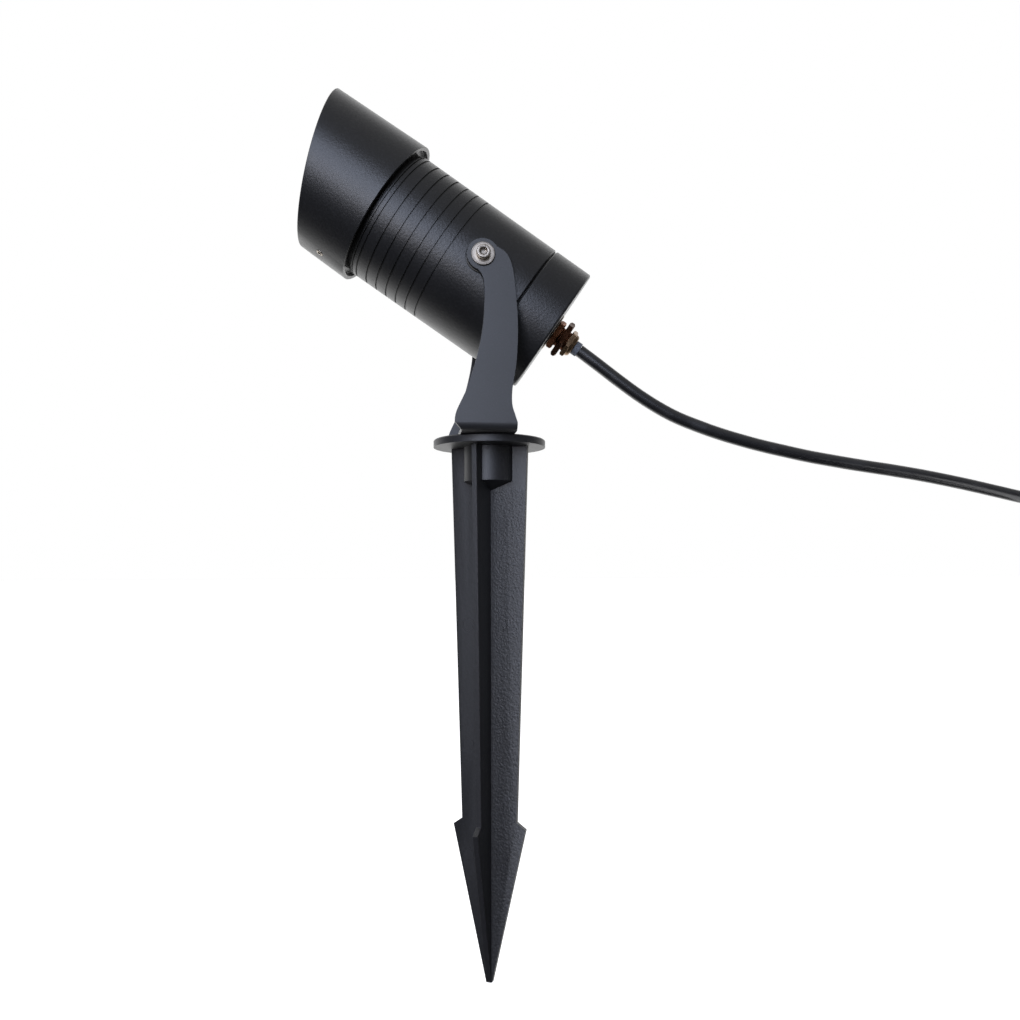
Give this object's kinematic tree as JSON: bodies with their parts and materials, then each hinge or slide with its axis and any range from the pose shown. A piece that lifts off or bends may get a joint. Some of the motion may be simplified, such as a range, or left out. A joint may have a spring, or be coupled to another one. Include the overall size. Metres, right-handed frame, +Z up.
{
  "type": "garden spike spotlight",
  "caption": "Garden spotlight on a ground stake: round lamp head with slant-cut glare hood tilts in a U-bracket that turns on a finned spike, with cable gland, rubber lead and plug.",
  "frame": {"origin": "middle of the underside of the stake's flange, on the stake's axis", "axes": "+Z up along the stake; the lamp shines towards -X and upwards; the tilt axis runs along Y"},
  "size_m": [0.5072, 0.1563, 0.469],
  "materials": {
    "powder_black": "fine matt powder coat",
    "powder_smooth": "smooth satin powder coat",
    "stainless": "bright turned stainless steel",
    "zinc_steel": "zinc plated",
    "gland_brass": "tarnished brown brass",
    "gland_dark_brass": "brass tarnished almost black",
    "gland_bronze": "polished bronze",
    "insert_brass": "machined",
    "stake_plastic": "grained moulded plastic",
    "toughened_glass": "clear toughened glass",
    "silicone": "translucent silicone",
    "seal_rubber": "red silicone",
    "sleeve_rubber": "grey rubber",
    "lead_rubber": "satin black rubber flex",
    "reflector_metal": "vacuum metallised",
    "board_aluminium": "bare",
    "ceramic": "white ceramic",
    "phosphor": "yellow silicone phosphor",
    "circuit_board": "solder resist",
    "component_black": "moulded",
    "transformer_tape": "polyester tape",
    "terminal_green": "moulded",
    "wire_insulation": "extruded",
    "nylon": "natural nylon",
    "plug_plastic": "moulded rubber-like plastic",
    "nickel": "nickel plated",
    "strap": "hook and loop tape"
  },
  "bodies": {
    "stake": {"ground_stake": "stake_plastic", "stake_insert": "insert_brass", "stake_bolt": "zinc_steel", "bolt_washer": "zinc_steel", "bolt_spring_washer": "zinc_steel"},
    "bracket": {"yoke_bracket": "powder_smooth", "cord_lead": "lead_rubber", "cord_coil": "lead_rubber", "cord_tie": "strap", "cord_tail": "lead_rubber", "plug_body": "plug_plastic", "plug_pins": "nickel"},
    "lamp_head": {"pivot_screws": "stainless", "pivot_washers": "stainless", "pivot_spring_washers": "stainless", "friction_washers": "nylon", "lamp_housing": "powder_black", "rear_cap": "powder_black", "rear_cap_seal": "seal_rubber", "anti_glare_hood": "powder_black", "hood_grub_screw": "stainless", "retaining_ring": "powder_black", "front_glass": "toughened_glass", "glass_gasket": "silicone", "reflector": "reflector_metal", "cob_base": "ceramic", "cob_phosphor": "phosphor", "led_board": "board_aluminium", "led_screws": "zinc_steel", "led_wires": "wire_insulation", "driver_board": "circuit_board", "driver_transformer": "transformer_tape", "driver_capacitors": "component_black", "driver_chips": "component_black", "driver_spacers": "insert_brass", "driver_screws": "zinc_steel", "terminal_block": "terminal_green", "supply_wires": "wire_insulation", "inner_lead": "lead_rubber", "gland_washer": "stainless", "gland_body": "gland_brass", "gland_inner_nut": "insert_brass", "gland_jam_nut": "gland_dark_brass", "gland_cap_nut": "gland_bronze", "gland_sleeve": "sleeve_rubber"}
  },
  "joints": [
    {"name": "pan", "type": "hinge", "parent": "stake", "child": "bracket", "pos_m": [0, 0, 0], "axis": [0, 0, 1], "range_deg": [-175, 175]},
    {"name": "tilt", "type": "hinge", "parent": "bracket", "child": "lamp_head", "pos_m": [-0.0067, 0, 0.0926], "axis": [0, 1, 0], "range_deg": [-54, 30], "deforming": ["cord_lead"]}
  ]
}
